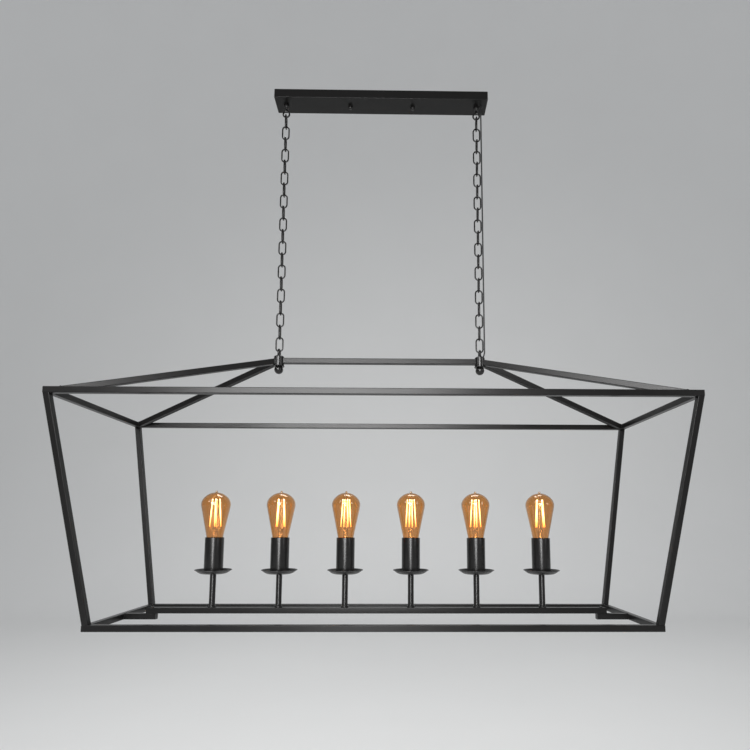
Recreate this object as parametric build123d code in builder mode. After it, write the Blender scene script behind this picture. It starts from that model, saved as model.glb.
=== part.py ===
"""Linear island pendant: an open lantern of square steel tube on two chains.

The frame's origin is the middle of the canopy's ceiling face.  +X runs along
the canopy and the lantern, +Y goes from the front of the room to the back, and
+Z points up, so the whole light hangs below z = 0.  Sizes are millimetres.
"""

import os
from math import acos, asin, atan2, cos, degrees, hypot, pi, sin, tan

from build123d import *

os.makedirs("parts", exist_ok=True)

# ---- clearances ----------------------------------------------------------
seat_gap = 0.3        # between curved faces that only hang or rest on each other
thread_gap = 0.3      # round a threaded piece in its hole
cord_gap = 0.3        # round the supply cord in a hole or beside a link

# ---- ceiling canopy ------------------------------------------------------
canopy_length = 490.0
canopy_width = 48.0
canopy_height = 20.0
canopy_sheet = 1.2
canopy_bend = 2.0     # outer radius of the folded corners
canopy_rim = 0.8      # outer radius round the lower edge

strap_width = 30.0    # load strap that lies on the canopy's floor
strap_thick = 2.5
strap_end = 8.0       # from the strap's end to the canopy's inner wall

bar_length = 300.0    # mounting bar screwed to the ceiling box
bar_width = 30.0
bar_thick = 3.0
slot_spacing = 88.9   # between the two ceiling screws
slot_width = 5.2
slot_length = 26.0

stud_spacing = 145.0  # between the studs that carry the canopy
stud_diameter = 5.0
stud_below = 5.5      # stud below the canopy's floor, in its nut
cap_nut_flats = 9.0
cap_nut_hex = 4.5     # height of the nut's hexagon
cap_nut_dome = 4.2    # radius of the nut's dome

# ---- suspension loops on the canopy ---------------------------------------
chain_spacing = 442.0
nipple_diameter = 9.5
nipple_above = 9.0    # nipple that stands above the strap
collar_diameter = 12.0
collar_height = 5.0
loop_neck = 11.0      # from the collar to the ring
loop_neck_diameter = 5.0
ring_wire = 3.6       # canopy ring
ring_mean_radius = 7.2
nut_flats = 13.0      # hexagon nut inside the canopy
nut_height = 5.0

# ---- chains -----------------------------------------------------------------
link_count = 20       # links of one chain, an even number
link_wire = 3.2
link_width = 18.0     # outside
link_inner_length = 28.4

# ---- hubs at the ends of the ridge -------------------------------------------
hub_ring_wire = 4.4
hub_ring_mean_radius = 7.6
hub_ring_height = 18.4  # ring's centre above the ridge tube's centre
boss_diameter = 22.0
boss_above = 8.0      # boss above the ridge tube's centre
boss_below = 10.0
bell_height = 7.0     # from the boss to the ring's neck
bell_neck_diameter = 8.0
hub_stud_diameter = 6.0
hub_stud_below = 8.0  # stud that enters the finial
finial_collar_diameter = 24.0
finial_collar_height = 2.6
finial_ball_diameter = 19.0
finial_drop = 9.5     # ball's centre below the boss

# ---- lantern cage ------------------------------------------------------------
tube = 12.0           # outside of the square tube
tube_wall = 1.5
tube_corner = 1.2     # outer corner radius
top_length = 1220.0
top_width = 356.0
bottom_length = 1068.0
bottom_width = 272.0
cage_height = 446.0
ridge_rise = 112.0    # ridge tube's top above the top frame's top

# ---- lamp bar ----------------------------------------------------------------
stub_length = 64.0
bar_overlap = 20.0    # lamp bar resting on each stub
end_plate = 1.5
screw_diameter = 4.0
screw_head_diameter = 7.0
screw_head_height = 2.4
screw_tail = 4.0      # screw below the stub's upper wall

# ---- lamps ---------------------------------------------------------------------
lamp_count = 6
lamp_pitch = 138.0
stem_height = 68.6    # lamp bar's top to the dish's underside
stem_diameter = 12.4
foot_diameter = 15.5
foot_height = 5.0
tenon_diameter = 8.0
tenon_below = 6.0
tenon_above = 14.0
dish_diameter = 75.0
dish_floor_diameter = 44.0
dish_depth = 9.0
dish_wall = 1.2
sleeve_diameter = 38.4
sleeve_wall = 1.5
sleeve_top = 144.0    # sleeve's rim above the lamp bar's top
socket_diameter = 32.0
socket_rim_drop = 12.0  # socket's rim below the sleeve's rim

bulb_diameter = 60.0
bulb_visible = 95.0   # glass above the sleeve, without the pip
bulb_widest = 26.0    # widest ring below the glass's top
bulb_belly_radius = 22.0  # arc of the outline round the widest ring
bulb_neck_diameter = 28.0
bulb_neck_height = 5.0
bulb_hidden = 17.0    # glass below the sleeve's rim
bulb_wall = 0.9
bulb_pip_diameter = 5.0
bulb_pip_height = 3.5
cap_diameter = 26.0
cap_height = 23.0
cap_insulator = 5.0
cap_contact_diameter = 10.0
mount_diameter = 9.0  # glass mount that carries the filaments
mount_height = 34.0

# ---- supply cord -----------------------------------------------------------------
cord_diameter = 3.2
bushing_wall = 0.9
bushing_flange = 8.0
bushing_flange_height = 1.0
cord_entry_rise = 10.5  # entry in the bell above the ridge tube's centre
cord_entry_reach = 7.6  # entry's distance from the hub's axis
cord_bend_rise = 19.0   # where the cord leaves the chain's side

# ---- places worked out from the sizes ---------------------------------------------
canopy_floor = -canopy_height
strap_top = canopy_floor + canopy_sheet + strap_thick
chain_xs = {"left": -chain_spacing / 2, "right": chain_spacing / 2}

ring_z = canopy_floor - collar_height - loop_neck - ring_mean_radius
swing_z = ring_z - ring_mean_radius
link_span = link_inner_length + link_wire      # wire centre to wire centre
link_step = link_span - link_wire - seat_gap   # one link to the next
first_link_top = swing_z + (ring_wire + link_wire) / 2 + seat_gap


def link_top(number):
    """Height of the upper wire's centre of a link, counted from 1."""
    return first_link_top - (number - 1) * link_step


def link_bottom(number):
    """Height of the lower wire's centre of a link."""
    return link_top(number) - link_span


hub_ring_top = link_bottom(link_count) + (link_wire + hub_ring_wire) / 2 + seat_gap
ridge_z = hub_ring_top - hub_ring_mean_radius - hub_ring_height
top_z = ridge_z + tube / 2 - ridge_rise        # top face of the top frame
bottom_z = top_z - cage_height                 # lower face of the bottom frame
bar_top = bottom_z + 2 * tube                  # the lamp bar lies on the stubs
inner_rail_x = bottom_length / 2 - tube
lamp_bar_length = 2 * (inner_rail_x - stub_length + bar_overlap)
lamp_xs = [lamp_pitch * (n - (lamp_count - 1) / 2) for n in range(lamp_count)]
cord_x = chain_xs["right"] + link_width / 2 + cord_gap + cord_diameter / 2


def save(part, name):
    """Label a finished sub-part and write its STEP file."""
    part.label = name
    export_step(part, f"parts/{name}.step")


def upright(x, z):
    """Plane of a turned profile: its X is the radius and its Y is the height."""
    return Plane(origin=(x, 0, z), x_dir=(1, 0, 0), z_dir=(0, -1, 0))


def axis_at(x):
    """Vertical axis through a turned piece."""
    return Axis((x, 0, 0), (0, 0, 1))


def tube_section(plane, hollow=True):
    """Square tube's cross-section with rounded outer corners."""
    with BuildSketch(plane) as section:
        RectangleRounded(tube, tube, tube_corner)
        if hollow:
            inner = tube - 2 * tube_wall
            Rectangle(inner, inner, mode=Mode.SUBTRACT)
    return section.sketch


# ======================= canopy =====================================================
cord_hole = cord_diameter + 2 * cord_gap
bushing_diameter = cord_hole + 2 * bushing_wall
floor_depth = canopy_sheet + strap_thick
stud_points = [(-stud_spacing / 2, 0), (stud_spacing / 2, 0)]
loop_points = [(x, 0) for x in chain_xs.values()]


def floor_holes():
    """Openings that the canopy's floor and its strap share, cut through both."""
    with Locations(*[(x, y, strap_top) for x, y in stud_points]):
        Hole((stud_diameter + 2 * thread_gap) / 2, depth=floor_depth)
    with Locations(*[(x, y, strap_top) for x, y in loop_points]):
        Hole((nipple_diameter + 2 * thread_gap) / 2, depth=floor_depth)
    with Locations((cord_x, 0, strap_top)):
        Hole(bushing_diameter / 2 + thread_gap, depth=floor_depth)


# The folded pan is open at the ceiling.
with BuildPart() as canopy_cover:
    with BuildSketch(Plane.XY.offset(canopy_floor)):
        RectangleRounded(canopy_length, canopy_width, canopy_bend)
    extrude(amount=canopy_height)
    fillet(canopy_cover.faces().sort_by(Axis.Z)[0].edges(), canopy_rim)
    rim_face = canopy_cover.faces().sort_by(Axis.Z)[-1]
    offset(amount=-canopy_sheet, openings=rim_face)
    floor_holes()
save(canopy_cover.part, "canopy_cover")

# A flat strap under the nuts spreads the lantern's weight along the pan.
strap_length = canopy_length - 2 * (canopy_sheet + strap_end)
with BuildPart() as load_strap:
    with BuildSketch(Plane.XY.offset(strap_top - strap_thick)):
        Rectangle(strap_length, strap_width)
    extrude(amount=strap_thick)
    floor_holes()
save(load_strap.part, "load_strap")

# The mounting bar lies against the ceiling, with a slot for each box screw.
with BuildPart() as mounting_bar:
    with BuildSketch(Plane.XY.offset(-bar_thick)) as bar_outline:
        RectangleRounded(bar_length, bar_width, bar_thick)
        with Locations((-slot_spacing / 2, 0), (slot_spacing / 2, 0)):
            SlotOverall(slot_length, slot_width, mode=Mode.SUBTRACT)
        with Locations(*stud_points):
            Circle(stud_diameter / 2 + thread_gap, mode=Mode.SUBTRACT)
    extrude(amount=bar_thick)
save(mounting_bar.part, "mounting_bar")

# Two studs hang from the mounting bar, and the cap nuts close the canopy.
stud_length = canopy_height + stud_below
with BuildPart() as canopy_studs:
    with BuildSketch(Plane.XY.offset(-stud_length)):
        with Locations(*stud_points):
            Circle(stud_diameter / 2)
    extrude(amount=stud_length)
save(canopy_studs.part, "canopy_studs")

nut_bore = stud_diameter / 2 + thread_gap
with BuildPart() as cap_nuts:
    with BuildSketch(Plane.XY.offset(canopy_floor - cap_nut_hex)):
        with Locations(*stud_points):
            RegularPolygon(cap_nut_flats / 2, 6, major_radius=False)
    extrude(amount=cap_nut_hex)
    for x, _ in stud_points:
        with BuildSketch(upright(x, canopy_floor - cap_nut_hex)):
            with BuildLine():
                dome = CenterArc((0, 0), cap_nut_dome, -90, 90)
                Line(dome @ 1, (0, 0))
                Line((0, 0), dome @ 0)
            make_face()
        revolve(axis=axis_at(x))
        with BuildSketch(Plane(origin=(x, 0, canopy_floor), z_dir=(0, 0, -1))):
            Circle(nut_bore)
        extrude(amount=stud_below + seat_gap, mode=Mode.SUBTRACT)
save(cap_nuts.part, "cap_nuts")

# A turned loop goes up through the floor at each chain; its ring faces the room.
nipple_top = strap_top + nipple_above
for side, x in chain_xs.items():
    with BuildPart() as canopy_loop:
        with BuildSketch(upright(x, canopy_floor)):
            with BuildLine():
                Polyline(
                    (0, nipple_top - canopy_floor),
                    (nipple_diameter / 2, nipple_top - canopy_floor),
                    (nipple_diameter / 2, 0),
                    (collar_diameter / 2, 0),
                    (collar_diameter / 2, -collar_height),
                    (loop_neck_diameter / 2, -collar_height - loop_neck / 2),
                    (loop_neck_diameter / 2, -collar_height - loop_neck),
                    (0, -collar_height - loop_neck),
                    close=True,
                )
            make_face()
        revolve(axis=axis_at(x))
        with Locations((x, 0, ring_z)):
            Torus(ring_mean_radius, ring_wire / 2, rotation=(90, 0, 0))
    save(canopy_loop.part, f"canopy_loop_{side}")

with BuildPart() as loop_nuts:
    with BuildSketch(Plane.XY.offset(strap_top)):
        with Locations(*loop_points):
            RegularPolygon(nut_flats / 2, 6, major_radius=False)
            Circle(nipple_diameter / 2 + thread_gap, mode=Mode.SUBTRACT)
    extrude(amount=nut_height)
save(loop_nuts.part, "loop_nuts")

# The cord passes the floor in a flanged bushing beside the right loop.
with BuildPart() as cord_bushing:
    with BuildSketch(Plane.XY.offset(canopy_floor - bushing_flange_height)):
        with Locations((cord_x, 0)):
            Circle(bushing_flange / 2)
    extrude(amount=bushing_flange_height)
    with BuildSketch(Plane.XY.offset(canopy_floor)):
        with Locations((cord_x, 0)):
            Circle(bushing_diameter / 2)
    extrude(amount=floor_depth + bushing_flange_height)
    with Locations((cord_x, 0, strap_top + bushing_flange_height)):
        Hole(cord_hole / 2)
save(cord_bushing.part, "cord_bushing")


# ======================= chains ======================================================
def chain_link(x, number):
    """One link: an even one faces the room, an odd one stands edge-on to it."""
    along = (1, 0, 0) if number % 2 == 0 else (0, 1, 0)
    facing = (0, -1, 0) if number % 2 == 0 else (1, 0, 0)
    middle = (link_top(number) + link_bottom(number)) / 2
    bend = (link_width - link_wire) / 2
    straight = link_span / 2 - bend
    link_plane = Plane(origin=(x, 0, middle), x_dir=along, z_dir=facing)
    with BuildLine(link_plane) as centre_line:
        right = Line((bend, -straight), (bend, straight))
        CenterArc((0, straight), bend, 0, 180)
        Line((-bend, straight), (-bend, -straight))
        CenterArc((0, -straight), bend, 180, 180)
    start = Plane(origin=right @ 0, x_dir=along, z_dir=(0, 0, 1))
    with BuildSketch(start) as wire:
        Circle(link_wire / 2)
    sweep(wire.sketch, path=centre_line.line)


for side, x in chain_xs.items():
    with BuildPart() as top_link:
        chain_link(x, 1)
    save(top_link.part, f"top_link_{side}")

    with BuildPart() as chain:
        for number in range(2, link_count):
            chain_link(x, number)
    save(chain.part, f"chain_{side}")

    with BuildPart() as bottom_link:
        chain_link(x, link_count)
    save(bottom_link.part, f"bottom_link_{side}")

# ======================= hubs ==========================================================
boss_top = ridge_z + boss_above
boss_floor = ridge_z - boss_below
boss_height = boss_above + boss_below
bell_neck = bell_neck_diameter / 2
entry_lean = atan2(cord_x - chain_xs["right"] - cord_entry_reach, cord_bend_rise - cord_entry_rise)
entry_point = (chain_xs["right"] + cord_entry_reach, 0, ridge_z + cord_entry_rise)
for side, x in chain_xs.items():
    with BuildPart() as hub_boss:
        with BuildSketch(Plane.XY.offset(boss_floor)):
            with Locations((x, 0)):
                Circle(boss_diameter / 2)
                Circle(hub_stud_diameter / 2 + thread_gap, mode=Mode.SUBTRACT)
        extrude(amount=boss_height)
    save(hub_boss.part, f"hub_boss_{side}")

    # A bell with a cast ring stands on the boss, and its stud goes through it.
    with BuildPart() as hang_loop:
        stud_reach = boss_height + hub_stud_below
        with BuildSketch(upright(x, boss_top)):
            with BuildLine():
                flank = Spline(
                    (boss_diameter / 2, 1.0),
                    (bell_neck, bell_height),
                    tangents=((-0.6, 1), (-0.2, 1)),
                )
                Polyline(
                    flank @ 1,
                    (0, bell_height),
                    (0, -stud_reach),
                    (hub_stud_diameter / 2, -stud_reach),
                    (hub_stud_diameter / 2, 0),
                    (boss_diameter / 2, 0),
                    flank @ 0,
                )
            make_face()
        revolve(axis=axis_at(x))
        with Locations((x, 0, ridge_z + hub_ring_height)):
            Torus(hub_ring_mean_radius, hub_ring_wire / 2, rotation=(0, 90, 0))
        if side == "right":
            into_bell = Plane(origin=entry_point, z_dir=(sin(entry_lean), 0, cos(entry_lean)))
            with BuildSketch(into_bell):
                Circle(cord_hole / 2)
            extrude(amount=bell_height + cord_hole, mode=Mode.SUBTRACT)
    save(hang_loop.part, f"hang_loop_{side}")

    # The ball finial screws on the stud from below and clamps the hub.
    with BuildPart() as ball_finial:
        with BuildSketch(Plane.XY.offset(boss_floor - finial_collar_height)):
            with Locations((x, 0)):
                Circle(finial_collar_diameter / 2)
        extrude(amount=finial_collar_height)
        chamfer(ball_finial.edges().filter_by(GeomType.CIRCLE), finial_collar_height / 4)
        with Locations((x, 0, boss_floor - finial_drop)):
            Sphere(finial_ball_diameter / 2)
        with BuildSketch(Plane(origin=(x, 0, boss_floor + finial_drop), z_dir=(0, 0, -1))):
            Circle(boss_diameter)
        extrude(amount=finial_drop, mode=Mode.SUBTRACT)
        with Locations((x, 0, boss_floor)):
            Hole(hub_stud_diameter / 2 + thread_gap, depth=hub_stud_below + seat_gap)
    save(ball_finial.part, f"ball_finial_{side}")


def clear_bosses():
    """Cut a tube's end round both hub bosses, a weld's gap away from them."""
    with Locations(*[(x, 0, ridge_z) for x in chain_xs.values()]):
        Cylinder(boss_diameter / 2 + seat_gap, 3 * tube, mode=Mode.SUBTRACT)


# The ridge tube runs from hub to hub.
with BuildPart() as ridge_tube:
    ridge_start = Plane(origin=(-chain_spacing / 2, 0, ridge_z), x_dir=(0, 1, 0), z_dir=(1, 0, 0))
    extrude(tube_section(ridge_start), amount=chain_spacing)
    clear_bosses()
save(ridge_tube.part, "ridge_tube")

# ======================= cage ==========================================================
corners = {
    "front_left": (-1, -1),
    "front_right": (1, -1),
    "back_left": (-1, 1),
    "back_right": (1, 1),
}


# Four hips rise from the inner corners of the top frame to the hubs.
for corner, (sx, sy) in corners.items():
    inner = Vector(sx * (top_length / 2 - tube), sy * (top_width / 2 - tube), top_z - tube / 2)
    hub = Vector(sx * chain_spacing / 2, 0, ridge_z)
    run = hub - inner
    across = Vector(-run.Y, run.X, 0)
    with BuildPart() as hip:
        start = Plane(origin=inner - run.normalized() * 4 * tube, x_dir=across, z_dir=run)
        extrude(tube_section(start), amount=run.length + 4 * tube)
        outside_x = Plane(origin=inner, z_dir=(sx, 0, 0))
        outside_y = Plane(origin=inner, z_dir=(0, sy, 0))
        middle_line = Plane(origin=hub, z_dir=(0, sy, 0))
        split(bisect_by=outside_x, keep=Keep.BOTTOM)
        split(bisect_by=outside_y, keep=Keep.BOTTOM)
        split(bisect_by=middle_line, keep=Keep.TOP)
        clear_bosses()
    save(hip.part, f"hip_{corner}")


def mitred_rail(length, width, z, side):
    """One side of a rectangular frame, cut at 45 degrees at both ends."""
    along_x = side in ("front", "back")
    sign = -1 if side in ("front", "left") else 1
    reach = (length if along_x else width) / 2
    offset_out = ((width if along_x else length) - tube) / 2
    run = Vector(1, 0, 0) if along_x else Vector(0, 1, 0)
    out = Vector(0, sign, 0) if along_x else Vector(sign, 0, 0)
    middle = out * offset_out + Vector(0, 0, z - tube / 2)
    start = Plane(origin=middle - run * reach, x_dir=(0, 0, 1), z_dir=run)
    extrude(tube_section(start), amount=2 * reach)
    for end in (-1, 1):
        outer_corner = out * (offset_out + tube / 2) + run * (end * reach)
        cut = Plane(origin=outer_corner, z_dir=run * end - out)
        split(bisect_by=cut, keep=Keep.BOTTOM)


for side in ("front", "back", "left", "right"):
    with BuildPart() as top_rail:
        mitred_rail(top_length, top_width, top_z, side)
    save(top_rail.part, f"top_rail_{side}")

    with BuildPart() as bottom_rail:
        mitred_rail(bottom_length, bottom_width, bottom_z + tube, side)
    save(bottom_rail.part, f"bottom_rail_{side}")

# Posts lean inwards from the top frame to the smaller bottom frame.
for corner, (sx, sy) in corners.items():
    foot = Vector(sx * (bottom_length - tube) / 2, sy * (bottom_width - tube) / 2, bottom_z + tube)
    head = Vector(sx * (top_length - tube) / 2, sy * (top_width - tube) / 2, top_z - tube)
    with BuildPart() as post:
        extrude(tube_section(Plane(origin=foot)), amount=(head - foot).length, dir=head - foot)
    save(post.part, f"post_{corner}")

# ======================= lamp bar ========================================================
screw_x = inner_rail_x - stub_length + bar_overlap / 2
screw_points = [(-screw_x, 0), (screw_x, 0)]
screw_hole = screw_diameter / 2 + thread_gap

# A short stub reaches in from each end rail, closed at its free end.
for side, sign in (("left", -1), ("right", 1)):
    with BuildPart() as stub:
        root = Plane(
            origin=(sign * inner_rail_x, 0, bottom_z + tube / 2),
            x_dir=(0, 1, 0),
            z_dir=(-sign, 0, 0),
        )
        extrude(tube_section(root, hollow=False), amount=stub_length)
        with BuildSketch(root):
            Rectangle(tube - 2 * tube_wall, tube - 2 * tube_wall)
        extrude(amount=stub_length - end_plate, mode=Mode.SUBTRACT)
        with Locations((sign * screw_x, 0, bottom_z + tube)):
            Hole(screw_hole, depth=tube / 2)
    save(stub.part, f"stub_{side}")

# The lamp bar lies on both stubs; its top has a hole for each stem's tenon.
with BuildPart() as lamp_bar:
    bar_end = Plane(
        origin=(-lamp_bar_length / 2, 0, bar_top - tube / 2),
        x_dir=(0, 1, 0),
        z_dir=(1, 0, 0),
    )
    extrude(tube_section(bar_end, hollow=False), amount=lamp_bar_length)
    with BuildSketch(bar_end.offset(end_plate)):
        Rectangle(tube - 2 * tube_wall, tube - 2 * tube_wall)
    extrude(amount=lamp_bar_length - 2 * end_plate, mode=Mode.SUBTRACT)
    with Locations(*[(x, 0, bar_top) for x in lamp_xs]):
        Hole(tenon_diameter / 2 + thread_gap, depth=tube / 2)
    with Locations(*[(x, y, bar_top) for x, y in screw_points]):
        Hole(screw_hole, depth=tube)
save(lamp_bar.part, "lamp_bar")

with BuildPart() as bar_screws:
    shank_length = tube + tube_wall + screw_tail
    with BuildSketch(Plane.XY.offset(bar_top - shank_length)):
        with Locations(*screw_points):
            Circle(screw_diameter / 2)
    extrude(amount=shank_length)
    with BuildSketch(Plane.XY.offset(bar_top)):
        with Locations(*screw_points):
            Circle(screw_head_diameter / 2)
    extrude(amount=screw_head_height)
    fillet(bar_screws.edges().group_by(Axis.Z)[-1], screw_head_height / 2)
save(bar_screws.part, "bar_screws")

# ======================= lamps ===========================================================
dish_floor = bar_top + stem_height + dish_wall
sleeve_rim = bar_top + sleeve_top
socket_rim = sleeve_rim - socket_rim_drop
glass_foot = sleeve_rim - bulb_hidden
cap_foot = glass_foot - cap_height

# Each stem has a wide foot on the bar and a tenon at both ends.
with BuildPart() as stems:
    for x in lamp_xs:
        with BuildSketch(upright(x, bar_top)):
            with BuildLine():
                Polyline(
                    (0, -tenon_below),
                    (tenon_diameter / 2, -tenon_below),
                    (tenon_diameter / 2, 0),
                    (foot_diameter / 2, 0),
                    (foot_diameter / 2, foot_height / 2),
                    (stem_diameter / 2, foot_height),
                    (stem_diameter / 2, stem_height),
                    (tenon_diameter / 2, stem_height),
                    (tenon_diameter / 2, stem_height + tenon_above),
                    (0, stem_height + tenon_above),
                    close=True,
                )
            make_face()
        revolve(axis=axis_at(x))
save(stems.part, "stems")

# A drip dish lies on each stem: a flat floor with a curved rim.
with BuildPart() as drip_dishes:
    for x in lamp_xs:
        with BuildSketch(upright(x, bar_top + stem_height)):
            with BuildLine():
                hole = tenon_diameter / 2 + thread_gap
                floor_edge = dish_floor_diameter / 2
                rim = dish_diameter / 2
                under = Line((hole, 0), (floor_edge, 0))
                outer = TangentArc(under @ 1, (rim, dish_depth), tangent=(1, 0.12))
                lip = Line(outer @ 1, (rim - dish_wall, dish_depth))
                inner = TangentArc((floor_edge, dish_wall), lip @ 1, tangent=(1, 0.12))
                upper = Line(inner @ 0, (hole, dish_wall))
                Line(upper @ 1, under @ 0)
            make_face()
        revolve(axis=axis_at(x))
save(drip_dishes.part, "drip_dishes")

with BuildPart() as sleeves:
    with BuildSketch(Plane.XY.offset(dish_floor)):
        with Locations(*[(x, 0) for x in lamp_xs]):
            Circle(sleeve_diameter / 2)
            Circle(sleeve_diameter / 2 - sleeve_wall, mode=Mode.SUBTRACT)
    extrude(amount=sleeve_rim - dish_floor)
save(sleeves.part, "sleeves")

# The socket stands on the dish round the tenon and holds the bulb's cap.
with BuildPart() as sockets:
    with BuildSketch(Plane.XY.offset(dish_floor)):
        with Locations(*[(x, 0) for x in lamp_xs]):
            Circle(socket_diameter / 2)
            Circle(tenon_diameter / 2 + thread_gap, mode=Mode.SUBTRACT)
    extrude(amount=socket_rim - dish_floor)
    with Locations(*[(x, 0, socket_rim) for x in lamp_xs]):
        Hole(bulb_neck_diameter / 2 + thread_gap, depth=socket_rim - cap_foot + seat_gap)
save(sockets.part, "sockets")


belly_middle = Vector(bulb_diameter / 2 - bulb_belly_radius, bulb_hidden + bulb_visible - bulb_widest)
crown_rise = bulb_widest - bulb_belly_radius
crown_radius = (belly_middle.X**2 + bulb_widest**2 - bulb_belly_radius**2) / (2 * crown_rise)
crown_middle = bulb_hidden + bulb_visible - crown_radius
pip_middle = bulb_hidden + bulb_visible + bulb_pip_height - bulb_pip_diameter / 2


def envelope(x, inset, pip_radius):
    """Turned outline of the bulb's glass, drawn in by inset: a straight cone, two arcs and a pip.

    The cone's side runs from the neck to where it touches the belly's arc, and
    the belly's arc meets the crown's on the line through both their middles.
    """
    neck = bulb_neck_diameter / 2 - inset
    belly = bulb_belly_radius - inset
    crown = crown_radius - inset
    across = belly_middle.X - neck
    rise = belly_middle.Y - bulb_neck_height
    side = degrees(atan2(rise, across) - asin(belly / hypot(across, rise)))
    shoulder = degrees(atan2(belly_middle.Y - crown_middle, belly_middle.X))
    crown_end = degrees(acos(pip_radius / crown))
    with BuildSketch(upright(x, glass_foot)) as half:
        with BuildLine():
            belly_arc = CenterArc(belly_middle, belly, side - 90, shoulder + 90 - side)
            crown_arc = CenterArc((0, crown_middle), crown, shoulder, crown_end - shoulder)
            top = crown_arc @ 1
            if pip_radius:
                Line(top, (pip_radius, pip_middle))
                top = CenterArc((0, pip_middle), pip_radius, 0, 90) @ 1
            Polyline(top, (0, 0), (neck, 0), (neck, bulb_neck_height), belly_arc @ 0)
        make_face()
    return revolve(half.sketch, axis=axis_at(x), mode=Mode.PRIVATE)


for number, x in enumerate(lamp_xs, start=1):
    with BuildPart() as bulb_glass:
        add(envelope(x, 0, bulb_pip_diameter / 2))
        add(envelope(x, bulb_wall, 0), mode=Mode.SUBTRACT)
    save(bulb_glass.part, f"bulb_glass_{number}")

    # The cap's shell and contact, with the glass mount that stands in the bulb.
    with BuildPart() as bulb_cap:
        with BuildSketch(upright(x, cap_foot)):
            with BuildLine():
                Polyline(
                    (0, 0),
                    (cap_contact_diameter / 2, 0),
                    (cap_diameter / 2, cap_insulator),
                    (cap_diameter / 2, cap_height),
                    (mount_diameter / 2, cap_height),
                    (mount_diameter / 2, cap_height + mount_height),
                    (0, cap_height + mount_height),
                    close=True,
                )
            make_face()
        revolve(axis=axis_at(x))
    save(bulb_cap.part, f"bulb_cap_{number}")

# ======================= supply cord ======================================================
cord_route = [
    (cord_x, 0, strap_top),
    (cord_x, 0, ridge_z + cord_bend_rise),
    (entry_point[0], 0, entry_point[2] + seat_gap),
]


def arc_radius(before, corner, after):
    """Radius of the arc that rounds one corner of the cord's route."""
    arriving = Vector(*corner) - Vector(*before)
    leaving = Vector(*after) - Vector(*corner)
    half_turn = arriving.get_angle(leaving) * pi / 360
    return 0.45 * min(arriving.length, leaving.length) / tan(half_turn)


cord_radii = [arc_radius(*cord_route[n - 1 : n + 2]) for n in range(1, len(cord_route) - 1)]
print("cord bend radii, mm:", [round(radius, 1) for radius in cord_radii])
with BuildPart() as feed_cord:
    with BuildLine() as cord_line:
        FilletPolyline(*cord_route, radius=cord_radii)
    with BuildSketch(Plane(origin=cord_route[0], z_dir=(0, 0, -1))):
        Circle(cord_diameter / 2)
    sweep(path=cord_line.line)
cord_length = sum(edge.length for edge in cord_line.edges())
cord_volume = pi * cord_diameter**2 / 4 * cord_length
print("cord length, mm:", round(cord_length, 1))
print("cord volume over section times length:", round(feed_cord.part.volume / cord_volume, 4))
save(feed_cord.part, "feed_cord")
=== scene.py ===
import bmesh
import bpy
import numpy as np
from mathutils import Matrix, Vector


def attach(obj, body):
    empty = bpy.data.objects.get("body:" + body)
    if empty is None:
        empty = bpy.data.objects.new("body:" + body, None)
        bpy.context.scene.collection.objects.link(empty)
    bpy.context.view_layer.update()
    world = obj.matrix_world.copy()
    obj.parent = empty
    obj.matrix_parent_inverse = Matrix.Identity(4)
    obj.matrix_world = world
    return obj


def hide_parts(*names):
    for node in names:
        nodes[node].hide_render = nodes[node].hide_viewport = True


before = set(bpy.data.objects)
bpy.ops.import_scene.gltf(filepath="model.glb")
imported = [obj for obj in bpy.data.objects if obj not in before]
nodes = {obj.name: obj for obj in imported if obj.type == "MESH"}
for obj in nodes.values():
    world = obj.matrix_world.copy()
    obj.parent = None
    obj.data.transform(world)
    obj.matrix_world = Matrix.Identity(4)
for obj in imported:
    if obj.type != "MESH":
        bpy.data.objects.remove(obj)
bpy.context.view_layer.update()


# ---- Room ------------------------------------------------------------------
# A pale sweep of painted board stands in for the room: a floor well below the
# lantern that curves up into a wall behind it. Five soft boxes light it.
FLOOR_Z = -1.72
FLOOR_FRONT = -7.0
WALL_Y = 4.6
WALL_HEIGHT = 10.0
HALF_ROOM = 14.0
SWEEP_RADIUS = 1.6
BOARD_COLOUR = (0.80, 0.80, 0.79)
SKY_COLOUR, SKY_STRENGTH = (0.95, 0.97, 1.0), 0.55
SEEN_GROUND = (0.74, 0.74, 0.74)
MIRRORED_GROUND = (0.12, 0.12, 0.125)
POLE_MERGE = 1e-7


def surface(name, grids, wrap_rows=False, wrap_columns=False, sharp=40):
    """Mesh of one or more surfaces, each given as points[row, column]. Quads
    join neighbouring rows and columns, a wrapped direction also joins its last
    line to its first, and points that coincide at a pole become one. Edges
    that turn by more than the sharp angle, in degrees, stay crisp."""
    points, faces, start = [], [], 0
    for grid in grids:
        index = start + np.arange(grid.shape[0] * grid.shape[1]).reshape(grid.shape[:2])
        start += index.size
        if wrap_rows:
            index = np.vstack([index, index[:1]])
        if wrap_columns:
            index = np.hstack([index, index[:, :1]])
        quads = [index[:-1, :-1], index[:-1, 1:], index[1:, 1:], index[1:, :-1]]
        faces.append(np.stack(quads, -1).reshape(-1, 4))
        points.append(grid.reshape(-1, 3))
    mesh = bpy.data.meshes.new(name)
    mesh.from_pydata(np.concatenate(points), [], np.concatenate(faces).tolist())
    merged = bmesh.new()
    merged.from_mesh(mesh)
    bmesh.ops.remove_doubles(merged, verts=merged.verts, dist=POLE_MERGE)
    merged.to_mesh(mesh)
    merged.free()
    mesh.polygons.foreach_set("use_smooth", np.ones(len(mesh.polygons), bool))
    mesh.set_sharp_from_angle(angle=np.radians(sharp))
    return mesh


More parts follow.
